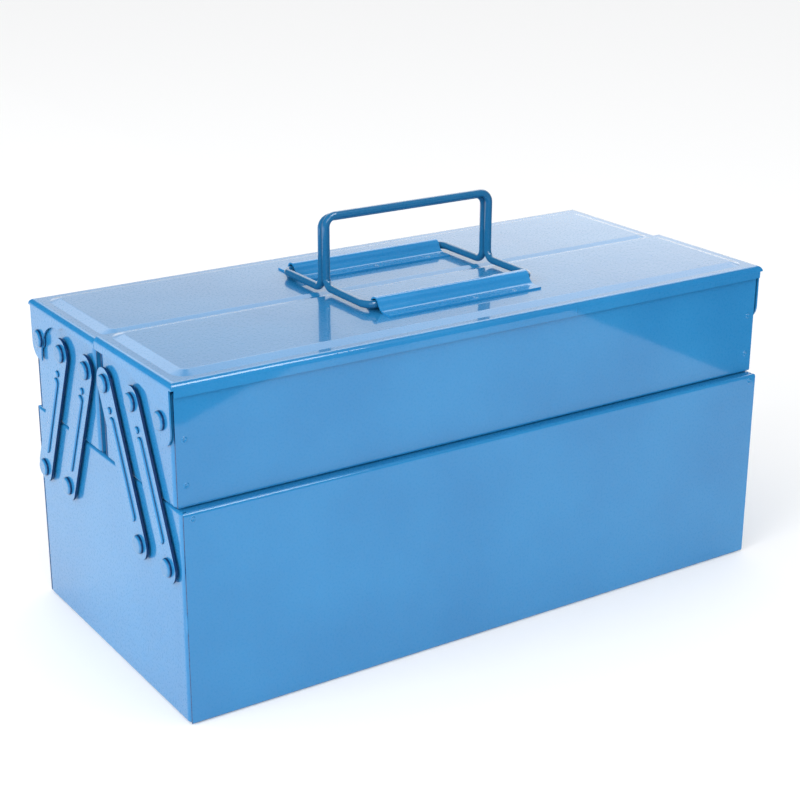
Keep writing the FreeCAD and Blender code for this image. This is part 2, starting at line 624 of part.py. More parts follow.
def bent_wire(corners, bend_radius, wire_radius):
    """Sweep a round wire along straight runs joined by tangent arcs."""
    edges = []
    start = corners[0]
    for before, corner, after in zip(corners, corners[1:], corners[2:]):
        incoming = (corner - before).normalize()
        outgoing = (after - corner).normalize()
        half_turn = incoming.getAngle(outgoing) / 2
        setback = bend_radius * math.tan(half_turn)
        entry = corner - incoming * setback
        leaving = corner + outgoing * setback
        inward = (outgoing - incoming).normalize()
        centre = corner + inward * (bend_radius / math.cos(half_turn))
        summit = centre - inward * bend_radius
        edges.append(Part.LineSegment(start, entry).toShape())
        edges.append(Part.Arc(entry, summit, leaving).toShape())
        start = leaving
    edges.append(Part.LineSegment(start, corners[-1]).toShape())
    path = Part.Wire(edges)
    direction = (corners[1] - corners[0]).normalize()
    ring = Part.Wire(Part.Circle(corners[0], direction, wire_radius).toShape())
    return path.makePipeShell([ring], True, False)


def make_bail(side):
    """A handle of bent wire: grip, two legs, two arms and two axle ends in the bracket."""
    half = value(size("bail_half_width"))
    rise = value(size("bail_rise"))
    reach = value(size("axle_distance")) - value(size("wire_radius")) - value(size("grip_gap")) / 2
    axle_end = value(size("axle_end_gap")) / 2
    corners = [
        FreeCAD.Vector(-axle_end, 0, 0), FreeCAD.Vector(-half, 0, 0),
        FreeCAD.Vector(-half, reach, 0), FreeCAD.Vector(-half, reach, rise),
        FreeCAD.Vector(half, reach, rise), FreeCAD.Vector(half, reach, 0),
        FreeCAD.Vector(half, 0, 0), FreeCAD.Vector(axle_end, 0, 0),
    ]
    bail = doc.addObject("Part::Feature", f"{side}_bail")
    bail.Label = f"{side}_bail"
    bail.Shape = bent_wire(corners, value(size("bail_bend_radius")), value(size("wire_radius")))
    sign = -1 if side == "front" else 1
    height = value(f"{lid_top(side)} + sizes.emboss_height + sizes.axle_rise")
    place = FreeCAD.Vector(0, sign * value(size("axle_distance")), height)
    bail.Placement = FreeCAD.Placement(place, turned(SIDES[side]))


def link_outline(sketch, low, high, radius):
    """Draw a straight bar with round ends between two bound heights."""
    bottom, top, half = value(low), value(high), value(radius)
    normal = FreeCAD.Vector(0, 0, 1)
    upper = Part.Circle(FreeCAD.Vector(0, top, 0), normal, half)
    lower = Part.Circle(FreeCAD.Vector(0, bottom, 0), normal, half)
    items = [
        Part.ArcOfCircle(upper, 0, math.pi),
        Part.LineSegment(FreeCAD.Vector(-half, top, 0), FreeCAD.Vector(-half, bottom, 0)),
        Part.ArcOfCircle(lower, math.pi, 2 * math.pi),
        Part.LineSegment(FreeCAD.Vector(half, bottom, 0), FreeCAD.Vector(half, top, 0)),
    ]
    first = sketch.GeometryCount
    for item in items:
        sketch.addGeometry(item)
    for index in range(4):
        following = first + (index + 1) % 4
        sketch.addConstraint(Sketcher.Constraint("Tangent", first + index, 2, following, 1))
    place_point(sketch, first, 3, "0", high)
    place_point(sketch, first + 2, 3, "0", low)
    bind(sketch, Sketcher.Constraint("Radius", first, half), radius)


def make_link(side, end, number):
    """A flat link with round ends, a pressed rib and a small bump over the rib."""
    label = f"{side}_{end}_{'outer' if number == 0 else 'inner'}_link"
    body = new_body(label)
    bar = new_sketch(body, f"{label}_bar", "YZ_Plane")
    link_outline(bar, "0", LINK_LENGTH, "sizes.link_width / 2")
    pad(body, bar, f"{label}_blank", "sizes.link_gauge", reverse=True)
    bores = new_sketch(body, f"{label}_bores", "YZ_Plane")
    for height in ("0", LINK_LENGTH):
        circle(bores, "0", height, HOLE_RADIUS)
    pocket(body, bores, f"{label}_holes", "2 * (sizes.link_gauge + sizes.overrun)", "Symmetric")
    rib = new_sketch(body, f"{label}_rib_outline", "YZ_Plane", "-sizes.link_gauge")
    half = "sizes.rib_width / 2"
    low = f"{LINK_LENGTH} * (1 - sizes.rib_end_share) + {half}"
    high = f"{LINK_LENGTH} * (1 - sizes.rib_start_share) - {half}"
    link_outline(rib, low, high, half)
    pad(body, rib, f"{label}_rib", "sizes.rib_height", reverse=True)
    crest = "-sizes.link_gauge - sizes.rib_height"
    waist = f"({low} + {high}) / 2"
    edge_points = [vector(crest, f"{way} * {half}", waist) for way in (-1, 1)]
    edge_points.append(vector(crest, "0", f"{high} + {half}"))
    edge_points.append(vector(crest, "0", f"{low} - {half}"))
    fillet(body, f"{label}_rib_edge", edge_points, "sizes.rib_rounding")
    bump = new_sketch(body, f"{label}_bump_outline", "YZ_Plane", "-sizes.link_gauge")
    bump_height = f"{LINK_LENGTH} * (1 - sizes.bump_share)"
    circle(bump, "0", bump_height, "sizes.bump_radius")
    pad(body, bump, f"{label}_bump", "sizes.rib_height", reverse=True)
    rim_point = vector(crest, "0", f"{bump_height} + sizes.bump_radius")
    fillet(body, f"{label}_bump_edge", [rim_point], "sizes.rib_rounding")
    sign = -1 if side == "front" else 1
    outward = -1 if end == "left" else 1
    lean = math.degrees(math.atan2(value(LINK_REACH), value(LINK_RISE)))
    tilt = FreeCAD.Rotation(FreeCAD.Vector(1, 0, 0), -sign * outward * lean)
    body.Placement = FreeCAD.Placement(FreeCAD.Vector(0, 0, 0), turned(ENDS[end]).multiply(tilt))
    stand_off = "sizes.length / 2 + sizes.washer_thickness + sizes.running_gap"
    body.setExpression("Placement.Base.x", f"{outward} * ({stand_off})")
    body.setExpression("Placement.Base.y", f"{sign} * {BASE_PIVOTS[number]}")
    body.setExpression("Placement.Base.z", BASE_PIVOT_HEIGHT)


def make_rivet(label, stack):
    """One rivet along X: its head outside at -X, its closed end inside, x = 0 on the end face."""
    body = new_body(label)
    tail = "sizes.gauge + sizes.weld_gap"
    under = f"-{stack}"
    section = new_sketch(body, f"{label}_section", "XY_Plane")
    outline(section, [
        (f"{tail} + sizes.tail_height", "0"), (f"{tail} + sizes.tail_height", "sizes.tail_radius"),
        (tail, "sizes.tail_radius"), (tail, "sizes.shank_radius"), (under, "sizes.shank_radius"),
        (under, "sizes.head_radius"), (f"{under} - sizes.head_height", "sizes.head_radius"),
        (f"{under} - sizes.head_height", "0"),
    ])
    turn = body.newObject("PartDesign::Revolution", f"{label}_turned")
    turn.Profile = (section, [""])
    turn.ReferenceAxis = (section, ["H_Axis"])
    turn.Angle = 360
    doc.recompute()
    head_edge = [vector(f"{under} - sizes.head_height", "sizes.head_radius", "0")]
    fillet(body, f"{label}_head_edge", head_edge, "sizes.head_rounding")
    return body


def make_washer(label, thickness):
    """One washer that stands out from the end face at x = 0 towards -X."""
    body = new_body(label)
    ring = new_sketch(body, f"{label}_ring", "YZ_Plane")
    circle(ring, "0", "0", "sizes.washer_radius")
    circle(ring, "0", "0", HOLE_RADIUS)
    pad(body, ring, f"{label}_plate", thickness, reverse=True)
    return body


def make_group(label, master, places):
    """Copies of one small piece at several pivots, kept as one group of separate solids."""
    copies = []
    for number, (end, y, z) in enumerate(places, 1):
        copy = doc.addObject("App::Link", f"{label}_{number}")
        copy.LinkedObject = master
        copy.Placement = FreeCAD.Placement(FreeCAD.Vector(0, 0, 0), turned(ENDS[end]))
        outward = -1 if end == "left" else 1
        copy.setExpression("Placement.Base.x", f"{outward} * sizes.length / 2")
        copy.setExpression("Placement.Base.y", y)
        copy.setExpression("Placement.Base.z", z)
        copies.append(copy)
    group = doc.addObject("Part::Compound", label)
    group.Label = label
    group.Links = copies


def make_fasteners():
    """All rivets and washers, grouped by the piece that holds them."""
    link_rivet = make_rivet("link_rivet_pattern", LINK_STACK)
    lid_rivet = make_rivet("lid_rivet_pattern", LID_STACK)
    link_washer = make_washer("link_washer_pattern", "sizes.washer_thickness")
    lid_washer = make_washer("lid_washer_pattern", "sizes.flap_gap - sizes.running_gap")
    signs = {"front": -1, "rear": 1}
    base_places = []
    for sign in signs.values():
        for distance in BASE_PIVOTS:
            base_places += [(end, f"{sign} * {distance}", BASE_PIVOT_HEIGHT) for end in ENDS]
    make_group("base_link_rivets", link_rivet, base_places)
    make_group("base_link_washers", link_washer, base_places)
    for side, sign in signs.items():
        tray_places = []
        for distance in TRAY_PIVOTS:
            tray_places += [(end, f"{sign} * {distance}", TRAY_PIVOT_HEIGHT) for end in ENDS]
        lid_places = [(end, f"{sign} * {LID_PIVOT}", LID_PIVOT_HEIGHT) for end in ENDS]
        make_group(f"{side}_tray_link_rivets", link_rivet, tray_places)
        make_group(f"{side}_tray_link_washers", link_washer, tray_places)
        make_group(f"{side}_lid_rivets", lid_rivet, lid_places)
        make_group(f"{side}_lid_washers", lid_washer, lid_places)


def check_and_export(labels):
    """Make sure that nothing failed, then write one file for each piece."""
    doc.recompute()
    for item in doc.Objects:
        if "Invalid" in item.State or "Error" in item.State:
            raise RuntimeError(f"{item.Label} failed: {item.State}")
    pieces = {label: doc.getObjectsByLabel(label)[0] for label in labels}
    for label, piece in pieces.items():
        if piece.Shape.isNull() or not piece.Shape.isValid():
            raise RuntimeError(f"{label} has no valid shape")
    for label, piece in pieces.items():
        piece.Shape.exportStep(f"parts/{label}.step")
        box = piece.Shape.BoundBox
        print(f"{label}: {len(piece.Shape.Solids)} solids, {piece.Shape.Volume:.0f} mm3, "
              f"z {box.ZMin:.1f} to {box.ZMax:.1f}")


make_base()
for side in SIDES:
    make_tray(side)
    make_lid(side)
    make_bracket(side)
    make_bail(side)
    for end in ENDS:
        for number in range(len(BASE_PIVOTS)):
            make_link(side, end, number)
make_fasteners()

NODES = ["base_wrap", "base_left_end", "base_right_end", "base_link_rivets", "base_link_washers"]
for side in SIDES:
    for piece in (
        "tray_wrap", "tray_left_end", "tray_right_end", "tray_link_rivets", "tray_link_washers",
        "lid", "lid_rivets", "lid_washers", "handle_bracket", "bail",
        "left_outer_link", "left_inner_link", "right_outer_link", "right_inner_link",
    ):
        NODES.append(f"{side}_{piece}")
check_and_export(NODES)
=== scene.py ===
import math

import bmesh
import bpy
from mathutils import Matrix, Vector


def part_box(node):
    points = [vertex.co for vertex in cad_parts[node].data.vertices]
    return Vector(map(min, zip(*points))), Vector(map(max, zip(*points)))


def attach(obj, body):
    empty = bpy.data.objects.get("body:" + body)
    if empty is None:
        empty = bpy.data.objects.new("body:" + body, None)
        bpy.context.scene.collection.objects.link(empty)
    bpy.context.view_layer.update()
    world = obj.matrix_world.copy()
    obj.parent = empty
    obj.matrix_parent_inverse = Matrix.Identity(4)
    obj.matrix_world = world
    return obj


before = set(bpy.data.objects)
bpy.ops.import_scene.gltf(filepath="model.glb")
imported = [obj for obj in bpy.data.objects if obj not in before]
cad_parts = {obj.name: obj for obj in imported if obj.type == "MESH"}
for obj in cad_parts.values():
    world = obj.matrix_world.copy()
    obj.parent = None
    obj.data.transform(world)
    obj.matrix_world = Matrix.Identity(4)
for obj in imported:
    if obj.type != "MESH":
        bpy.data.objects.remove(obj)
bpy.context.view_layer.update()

bl_info = {
    "name": "Two-level tool box",
    "version": (1, 0, 0),
    "blender": (4, 5, 0),
    "location": "3D View > Sidebar > Tool box",
    "description": "Blue enamel, weld marks and a photo stage for a tool box with swing-out trays",
    "category": "Object",
}

MM = 0.001
GLOSS_INDEX = 1.5
# Ranges of the enamel's textures
CLOUD_ENDS = (0.35, 0.65)
GRAIN_ENDS = (0.3, 0.7)
GRAIN_ROUGHNESS = 0.05
NIB_REACHES = (0.025, 0.06)
# Where a sheet was cut: how much its surface faces along X, from and to, and whether the cut
# faces along X (the ends of a wrap) or away from it (the sides of a link)
# These cut faces get a painted shade of dark navy, for the shade in the seams and gaps beside them:
# the ends of the wraps and the sides of the links, rivets and washers.
WRAP_ENDS = (0.8, 0.95, True)
LINK_SIDES = (0.15, 0.6, False)
# Where the spot welds sit, in metres: heights on the walls, and x along the bracket feet
WELD_END = 0.170
TRAY_WELD_HEIGHTS = (0.1179, 0.1397)
BASE_WELD_HEIGHTS = (0.1034,)
BRACKET_WELDS = {"front": (0.0065, 0.0305), "rear": (0.0, 0.033)}
# Marks in the paint: place along the lid, height or depth, and share of the drop's size
PAINT_RUN = (0.0482, 0.1631)
BEND_DROPS = ((-0.092, 1.0), (-0.0855, 0.8))
PANEL_DROPS = ((0.144, -0.066), (0.136, -0.037))
SEAM_PAINT_HEIGHT = 0.0518
# How far the marks stand up, and how far in from the corner of their sheet they lie
RUN_RISE = 0.00035
RUN_STRETCH = (0.28, 1.0)
BEND_DROP_RISE = 0.00028
PANEL_DROP_RISE = 0.00014
BEND_INSET = 0.9 * MM
BEND_DEPTH = 2.4 * MM
SEAM_INSETS = (0.05 * MM, 0.9 * MM)
SEAM_STEPS = 16
# The stage: the floor lies this far under the box, and the lights aim at the box's middle
FLOOR_DROP = 0.3 * MM
LIGHT_AIM = (0, 0, 0.1)
SOFT_BOXES = {
    "left_soft_box": ((-1.7, -0.35, 0.75), (1.3, 1.0)),
    "front_soft_box": ((-0.75, -1.9, 1.25), (1.5, 1.0)),
    "edge_strip": ((0.16, -0.62, 1.12), (0.7, 0.5)),
}
# The backdrop that the enamel mirrors. Each row holds two values of the looking direction's X, Y
# or Z, and the brightness at the first and at the second of them.
WALL_START = (0.0, 0.30, 0, 1)
BRIGHTER_RIGHT = (0.35, 0.68, 0.83, 1.04)
WALL_RISE = (0.36, 0.46, 1, 2.5)
LOW_HAZE = (0.22, 0.32, 1.55, 1)
WALL_TOP = (0.72, 0.80, 1, 0)
WALL_LEFT_END = (-0.08, 0.10, 0, 1)


class EnamelLook(bpy.types.PropertyGroup):
    """Colour and surface of the blue enamel."""

    blue: bpy.props.FloatVectorProperty(
        name="Blue", description="Main colour of the enamel",
        subtype="COLOR", size=3, min=0, max=1, default=(0.019, 0.205, 0.46))
    deep_blue: bpy.props.FloatVectorProperty(
        name="Deep blue", description="Colour where the enamel lies a little thicker",
        subtype="COLOR", size=3, min=0, max=1, default=(0.015, 0.18, 0.42))
    cloud_size: bpy.props.FloatProperty(
        name="Cloud size", description="Width of the slow changes in the colour",
        subtype="DISTANCE", unit="LENGTH", min=0.001, default=0.07)
    # Painted shade: the dark navy edge colour and the thinner clear top on the cut edges stand in for
    # the shade of the seams and gaps beside them.
    edge_shade_blue: bpy.props.FloatVectorProperty(
        name="Edge blue", description="Colour of the thin enamel on the cut edges",
        subtype="COLOR", size=3, min=0, max=1, default=(0.004, 0.03, 0.11))
    edge_gloss: bpy.props.FloatProperty(
        name="Edge gloss", description="Share of the clear top that is left on the cut edges",
        subtype="FACTOR", min=0, max=1, default=0.25)
    body_roughness: bpy.props.FloatProperty(
        name="Pigment roughness", description="Roughness of the coloured layer",
        subtype="FACTOR", min=0, max=1, default=0.30)
    pigment_shine: bpy.props.FloatProperty(
        name="Pigment shine", description="How much light the coloured layer itself mirrors",
        subtype="FACTOR", min=0, max=1, default=0.14)
    gloss_roughness: bpy.props.FloatProperty(
        name="Gloss roughness", description="Roughness of the clear top of the enamel",
        subtype="FACTOR", min=0, max=1, default=0.045)
    peel_size: bpy.props.FloatProperty(
        name="Orange peel size", description="Width of one dimple of the sprayed enamel",
        subtype="DISTANCE", unit="LENGTH", min=0.0005, default=0.0024)
    peel_height: bpy.props.FloatProperty(
        name="Orange peel height", description="Height of the dimples of the sprayed enamel",
        subtype="DISTANCE", unit="LENGTH", min=0, default=0.0000014)
    wave_size: bpy.props.FloatProperty(
        name="Sheet wave size", description="Distance between the slow waves of the thin sheet",
        subtype="DISTANCE", unit="LENGTH", min=0.005, default=0.055)
    wave_height: bpy.props.FloatProperty(
        name="Sheet wave height", description="Height of the slow waves of the thin sheet",
        subtype="DISTANCE", unit="LENGTH", min=0, default=0.00012)
    nib_spacing: bpy.props.FloatProperty(
        name="Nib spacing", description="Distance between the places where a dust nib can sit",
        subtype="DISTANCE", unit="LENGTH", min=0.002, default=0.011)
    nib_share: bpy.props.FloatProperty(
        name="Nib share", description="Share of those places that hold a dust nib",
        subtype="FACTOR", min=0, max=1, default=0.16)
    nib_height: bpy.props.FloatProperty(
        name="Nib height", description="Height of a dust nib under the enamel",
        subtype="DISTANCE", unit="LENGTH", min=0, default=0.00006)


class MarkSizes(bpy.types.PropertyGroup):
    """Sizes of the small marks that welding and spraying leave."""

    weld_radius: bpy.props.FloatProperty(
        name="Weld radius", description="Radius of the dimple that a spot weld leaves",
        subtype="DISTANCE", unit="LENGTH", min=0.0005, default=0.0016)
    weld_height: bpy.props.FloatProperty(
        name="Weld rim height", description="Height of the rim round the dimple",
        subtype="DISTANCE", unit="LENGTH", min=0.00002, default=0.0003)
    bracket_gauge: bpy.props.FloatProperty(
        name="Bracket sheet", description="Thickness of a handle bracket's foot under its weld marks",
        subtype="DISTANCE", unit="LENGTH", min=0.0001, default=0.0009)
    flange_inset: bpy.props.FloatProperty(
        name="Bracket mark inset", description="Distance of a bracket's weld marks from its edge",
        subtype="DISTANCE", unit="LENGTH", min=0.0005, default=0.0027)
    run_length: bpy.props.FloatProperty(
        name="Paint run length", description="Length of the paint run on the front skirt",
        subtype="DISTANCE", unit="LENGTH", min=0.001, default=0.0042)
    drop_radius: bpy.props.FloatProperty(
        name="Drop radius", description="Radius of a small drop of enamel",
        subtype="DISTANCE", unit="LENGTH", min=0.0002, default=0.0006)
    bridge_length: bpy.props.FloatProperty(
        name="Seam paint length", description="Length over which enamel has closed the base's seam",
        subtype="DISTANCE", unit="LENGTH", min=0.001, default=0.011)
    bridge_radius: bpy.props.FloatProperty(
        name="Seam paint radius", description="Thickness of the enamel that closes the seam",
        subtype="DISTANCE", unit="LENGTH", min=0.0001, default=0.0008)


class StageSettings(bpy.types.PropertyGroup):
    """Floor, lights and camera of the photo stage."""

    floor_width: bpy.props.FloatProperty(
        name="Floor width", description="Side of the square floor",
        subtype="DISTANCE", unit="LENGTH", min=1, default=14)
    floor_colour: bpy.props.FloatVectorProperty(
        name="Floor colour", description="Colour of the pale floor",
        subtype="COLOR", size=3, min=0, max=1, default=(0.92, 0.925, 0.93))
    floor_glow: bpy.props.FloatProperty(
        name="Floor glow", description="Light that comes up through the pale floor",
        min=0, max=4, default=0.03)
    table_front: bpy.props.FloatProperty(
        name="Table's front edge", description="Where the bright table ends in front",
        subtype="DISTANCE", unit="LENGTH", default=-0.43)
    table_right: bpy.props.FloatProperty(
        name="Table's right edge", description="Where the bright table ends at the right",
        subtype="DISTANCE", unit="LENGTH", default=0.385)
    table_slant: bpy.props.FloatProperty(
        name="Table's slant", description="How much deeper the table is past the box's middle",
        subtype="DISTANCE", unit="LENGTH", default=0.07)
    room_dimness: bpy.props.FloatProperty(
        name="Dim room", description="How bright the enamel mirrors the room past the table",
        min=0, max=4, default=0.03)
    room_light: bpy.props.FloatProperty(
        name="Room light", description="Strength of the soft light from all sides",
        min=0, max=4, default=0.95)
    backdrop_light: bpy.props.FloatProperty(
        name="Backdrop light", description="How bright the backdrop is where the camera sees it",
        min=0, max=4, default=1.05)
    left_power: bpy.props.FloatProperty(
        name="Left light power", description="Power of the soft box beside the left end",
        unit="POWER", min=0, default=19)
    front_power: bpy.props.FloatProperty(
        name="Front light power", description="Power of the soft box in front",
        unit="POWER", min=0, default=16)
    strip_power: bpy.props.FloatProperty(
        name="Strip light power", description="Power of the small light that glints on the lid's edge",
        unit="POWER", min=0, default=10)
    camera_place: bpy.props.FloatVectorProperty(
        name="Camera place", description="Where the photo was taken from",
        subtype="TRANSLATION", unit="LENGTH", size=3, default=(-0.474236, -0.711652, 0.413886))
    camera_turn: bpy.props.FloatVectorProperty(
        name="Camera turn", description="Which way the camera looks",
        subtype="EULER", unit="ROTATION", size=3, default=(1.219333, -0.003048, -0.582732))
    camera_lens: bpy.props.FloatProperty(
        name="Lens", description="Focal length in millimetres on a 36 mm wide sensor",
        min=1, default=76.4276)


def add_node(tree, kind, sockets=None, **options):
    """Adds a shader node, sets its options, and sets or links its sockets."""
    made = tree.nodes.new(kind)
    for name, value in options.items():
        setattr(made, name, value)
    for name, value in (sockets or {}).items():
        if isinstance(value, bpy.types.NodeSocket):
            tree.links.new(value, made.inputs[name])
        else:
            made.inputs[name].default_value = value
    return made


def noise(tree, place, size, detail=2.0):
    """Soft noise whose features are about size wide, in metres."""
    sockets = {"Vector": place, "Scale": 1 / size, "Detail": detail}
    return add_node(tree, "ShaderNodeTexNoise", sockets).outputs["Fac"]


def remap(tree, value, low, high, to_low, to_high, smooth=True):
    """Maps low..high to to_low..to_high, and holds it there outside."""
    sockets = {"Value": value, "From Min": low, "From Max": high,
               "To Min": to_low, "To Max": to_high}
    kind = "SMOOTHSTEP" if smooth else "LINEAR"
    made = add_node(tree, "ShaderNodeMapRange", sockets, interpolation_type=kind)
    return made.outputs["Result"]


def calculate(tree, operation, first, second):
    """One step of arithmetic in a node tree."""
    made = add_node(tree, "ShaderNodeMath", {0: first, 1: second}, operation=operation)
    return made.outputs["Value"]


def bump(tree, height, distance, under=None):
    """A bump of that height in metres, on top of the bump under it."""
    sockets = {"Height": height, "Distance": distance, "Strength": 1.0}
    if under is not None:
        sockets["Normal"] = under
    return add_node(tree, "ShaderNodeBump", sockets).outputs["Normal"]


def nibs(tree, place, look):
    """Height of the few dust nibs that the enamel has covered."""
    cells = add_node(tree, "ShaderNodeTexVoronoi",
                     {"Vector": place, "Scale": 1 / look.nib_spacing})
    split = add_node(tree, "ShaderNodeSeparateColor", {"Color": cells.outputs["Color"]})
    chosen = calculate(tree, "LESS_THAN", split.outputs["Red"], look.nib_share)
    reach = remap(tree, split.outputs["Green"], 0, 1, *NIB_REACHES, smooth=False)
    nearness = calculate(tree, "DIVIDE", cells.outputs["Distance"], reach)
    return calculate(tree, "MULTIPLY", chosen, remap(tree, nearness, 0, 1, 1, 0))


def painted_edge_shade(tree, low, high, ends):
    """Where the sheet was cut, which gets a painted shade for the dark seams and gaps beside it: its
    ends, or else its long sides.
    """
    normal = add_node(tree, "ShaderNodeNewGeometry").outputs["Normal"]
    split = add_node(tree, "ShaderNodeSeparateXYZ", {"Vector": normal})
    across = calculate(tree, "ABSOLUTE", split.outputs["X"], 0)
    return remap(tree, across, low, high, 0 if ends else 1, 1 if ends else 0)


def enamel(name, look, waves=1.0, peel=1.0, shade=1.0, edges=None):
    """Sprayed gloss enamel on steel. Small pieces have weaker waves, and shade scales their blue:
    below 1 as painted shade, above 1 as painted light. Edges picks cut faces that get a painted shade.
    """
    material = bpy.data.materials.new(name)
    material.use_nodes = True
    tree = material.node_tree
    tree.nodes.clear()
    place = add_node(tree, "ShaderNodeTexCoord").outputs["Object"]
    clouds = add_node(tree, "ShaderNodeValToRGB",
                      {"Fac": noise(tree, place, look.cloud_size, detail=4.0)})
    ends = clouds.color_ramp.elements
    ends[0].position, ends[1].position = CLOUD_ENDS
    # shade darkens or lightens the blue of a whole piece: painted shade for the handles and rivets,
    # painted light for the brackets.
    ends[0].color = [part * shade for part in look.deep_blue] + [1]
    ends[1].color = [part * shade for part in look.blue] + [1]
    grain = noise(tree, place, look.peel_size * 0.5)
    rough = remap(tree, grain, *GRAIN_ENDS, look.body_roughness - GRAIN_ROUGHNESS,
                  look.body_roughness + GRAIN_ROUGHNESS)
    relief = bump(tree, noise(tree, place, look.wave_size), look.wave_height * waves)
    relief = bump(tree, noise(tree, place, look.peel_size), look.peel_height * peel, relief)
    relief = bump(tree, nibs(tree, place, look), look.nib_height, relief)
    shader = add_node(tree, "ShaderNodeBsdfPrincipled", {
        "Base Color": clouds.outputs["Color"], "Roughness": rough, "Normal": relief,
        "Coat Normal": relief, "Coat Weight": 1.0, "Coat Roughness": look.gloss_roughness,
        "Coat IOR": GLOSS_INDEX, "IOR": GLOSS_INDEX, "Specular IOR Level": look.pigment_shine})
    # Painted shade: where edges picks the cut faces, the blue turns dark navy and the clear top thins,
    # for the shade in the seams and gaps beside them.
    if edges:
        edge_shade = painted_edge_shade(tree, *edges)
        thin = add_node(tree, "ShaderNodeMix", {
            "Factor": edge_shade, 6: clouds.outputs["Color"], 7: (*look.edge_shade_blue, 1)}, data_type="RGBA")
        tree.links.new(thin.outputs[2], shader.inputs["Base Color"])
        tree.links.new(remap(tree, edge_shade, 0, 1, 1, look.edge_gloss), shader.inputs["Coat Weight"])
    add_node(tree, "ShaderNodeOutputMaterial", {"Surface": shader.outputs["BSDF"]})
    return material


def finish_nodes(words, material):
    """Gives the material to every CAD node whose name holds one of the words."""
    chosen = [node for name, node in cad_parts.items() if any(w in name for w in words)]
    if not chosen:
        raise RuntimeError(f"no CAD node is named after {words}")
    for node in chosen:
        for place in node.material_slots:
            place.material = material


def piece(name, mesh, body, material):
    """Makes an enamelled object of the mesh, which rides on the body."""
    data = bpy.data.meshes.new(name)
    mesh.to_mesh(data)
    mesh.free()
    data.shade_smooth()
    data.materials.append(material)
    made = bpy.data.objects.new(name, data)
    bpy.context.scene.collection.objects.link(made)
    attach(made, body)


def spun_form(mesh, place, profile, sides=28, stretch=(1.0, 1.0)):
    """Turns a profile of (radius, height) points round place's Z axis, closed at both ends."""
    rings = []
    for radius, height in profile:
        ring = []
        for step in range(sides):
            angle = math.tau * step / sides
            point = Vector((radius * math.cos(angle) * stretch[0],
                            radius * math.sin(angle) * stretch[1], height))
            ring.append(mesh.verts.new(place @ point))
        rings.append(ring)
    for lower, upper in zip(rings, rings[1:]):
        for step in range(sides):
            after = (step + 1) % sides
            mesh.faces.new((lower[step], lower[after], upper[after], upper[step]))
    mesh.faces.new(rings[-1])
    mesh.faces.new(tuple(reversed(rings[0])))


def facing(point, normal):
    """A place at the point whose Z axis is the surface's normal."""
    turn = Vector(normal).to_track_quat("Z", "Y").to_matrix().to_4x4()
    return Matrix.Translation(point) @ turn


def weld_profile(marks):
    """A spot weld's shallow dimple: a soft rim round a lower middle."""
    radius, height = marks.weld_radius, marks.weld_height
    shares = ((1.0, -0.3), (0.96, 0.05), (0.86, 0.45), (0.75, 0.9), (0.65, 1.0), (0.53, 0.8),
              (0.41, 0.36), (0.27, 0.12), (0.13, 0.05))
    return [(radius * across, height * up) for across, up in shares]


def drop_profile(radius, height):
    """A low round drop that runs out softly into the surface."""
    shares = ((1.0, -0.3), (0.95, 0.02), (0.8, 0.2), (0.62, 0.5), (0.42, 0.8), (0.2, 0.96))
    return [(radius * across, height * up) for across, up in shares]


def weld_row(name, body, points, normal, material, marks):
    """One piece that holds the weld dimples of one sheet."""
    mesh = bmesh.new()
    for point in points:
        spun_form(mesh, facing(point, normal), weld_profile(marks))
    piece(name, mesh, body, material)


class TOOLBOX_OT_finish_sheets(bpy.types.Operator):
    """Enamels the base, the trays and the lids"""

    bl_idname = "toolbox.finish_sheets"
    bl_label = "Finish the sheets"

    def execute(self, context):
        look = context.scene.toolbox_enamel
        finish_nodes(("_end", "_lid"), enamel("sheet_enamel", look))
        finish_nodes(("wrap",), enamel("wrap_enamel", look, edges=WRAP_ENDS))
        return {"FINISHED"}


class TOOLBOX_OT_finish_links(bpy.types.Operator):
    """Enamels the swing links and their rivets and washers"""

    bl_idname = "toolbox.finish_links"
    bl_label = "Finish the links"

    def execute(self, context):
        look = context.scene.toolbox_enamel
        link_enamel = enamel("link_enamel", look, waves=0.4, peel=1.3, edges=LINK_SIDES)
        # The rivets' blue is a little darker, as painted shade on their domed heads, and their sides
        # get the painted edge shade.
        rivet_enamel = enamel("rivet_enamel", look, waves=0.0, peel=0.8, shade=0.9, edges=LINK_SIDES)
        finish_nodes(("_link",), link_enamel)
        finish_nodes(("rivets", "washers"), rivet_enamel)
        return {"FINISHED"}


class TOOLBOX_OT_finish_handles(bpy.types.Operator):
    """Enamels the two wire handles and their brackets"""

    bl_idname = "toolbox.finish_handles"
    bl_label = "Finish the handles"

    def execute(self, context):
        look = context.scene.toolbox_enamel
        # The handles' blue is painted darker and the brackets' lighter than the same enamel: painted
        # shade and painted light.
        handle_enamel = enamel("handle_enamel", look, waves=0.0, peel=1.8, shade=0.62)
        bracket_enamel = enamel("bracket_enamel", look, waves=0.5, peel=0.8, shade=1.15)
        finish_nodes(("bail",), handle_enamel)
        finish_nodes(("bracket",), bracket_enamel)
        return {"FINISHED"}


